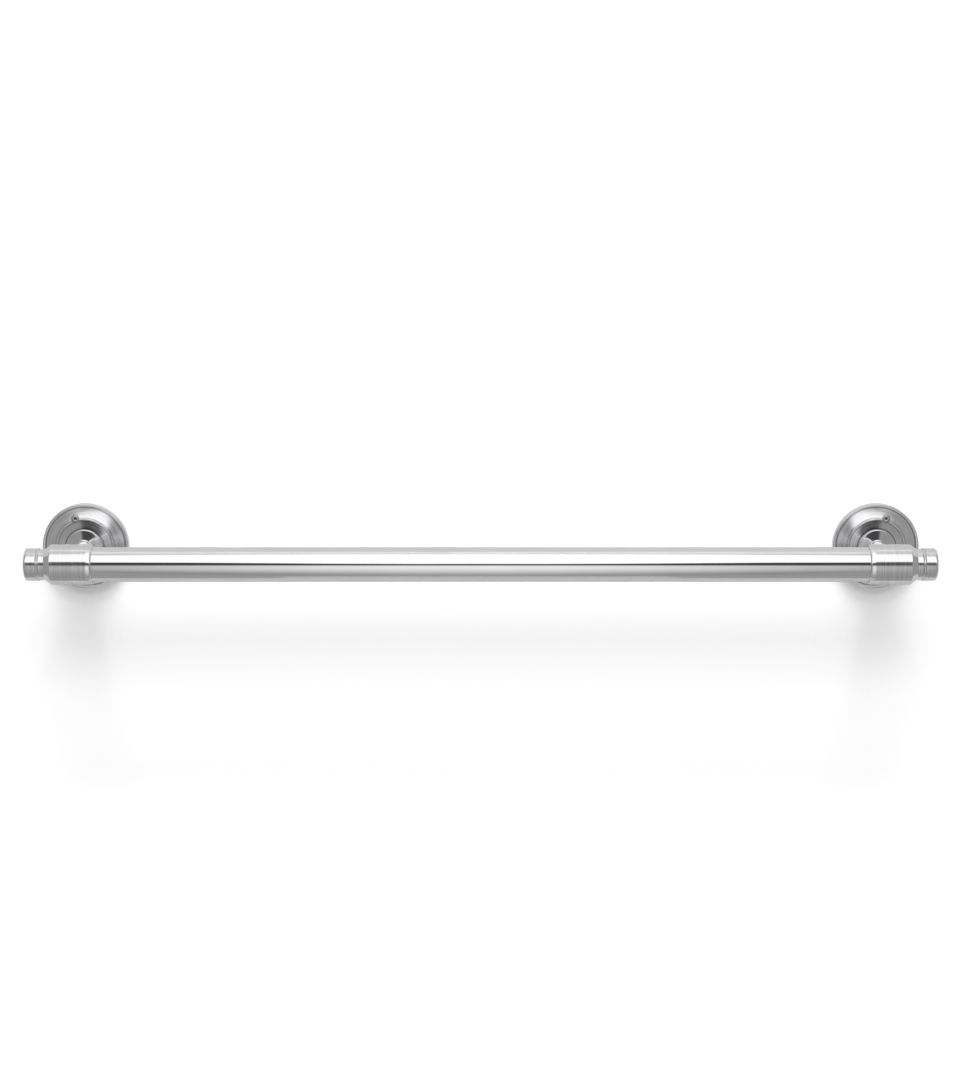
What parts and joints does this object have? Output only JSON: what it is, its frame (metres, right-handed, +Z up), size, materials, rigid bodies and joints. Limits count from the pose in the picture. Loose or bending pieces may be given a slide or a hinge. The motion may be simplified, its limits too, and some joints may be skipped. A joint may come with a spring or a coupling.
{
  "type": "towel rail",
  "caption": "Wall-mounted towel rail: a round metal tube held between turned collars on posts that rise from bell-shaped rosettes.",
  "frame": {"origin": "on the wall plane, at the centre of the four wall fixing holes, midway between the posts and level with their axes", "axes": "+X along the rail to the right as seen from the room, +Y into the wall, +Z up"},
  "size_m": [0.665, 0.0898, 0.065],
  "materials": {
    "polished_steel": "polished",
    "turned_steel": "fine turned lines round the axis",
    "satin_steel": "satin",
    "plate_steel": "plain zinc grey",
    "screw_steel": "satin"
  },
  "bodies": {
    "root": {"rail_tube": "polished_steel", "collar_left": "turned_steel", "collar_right": "turned_steel", "finial_left": "turned_steel", "finial_right": "turned_steel", "post_left": "polished_steel", "post_right": "polished_steel", "rosette_left": "satin_steel", "rosette_right": "satin_steel", "wall_plate_left": "plate_steel", "wall_plate_right": "plate_steel", "rosette_screws": "screw_steel", "post_screws": "screw_steel", "collar_studs": "screw_steel", "rail_grub_screws": "screw_steel"}
  },
  "joints": []
}
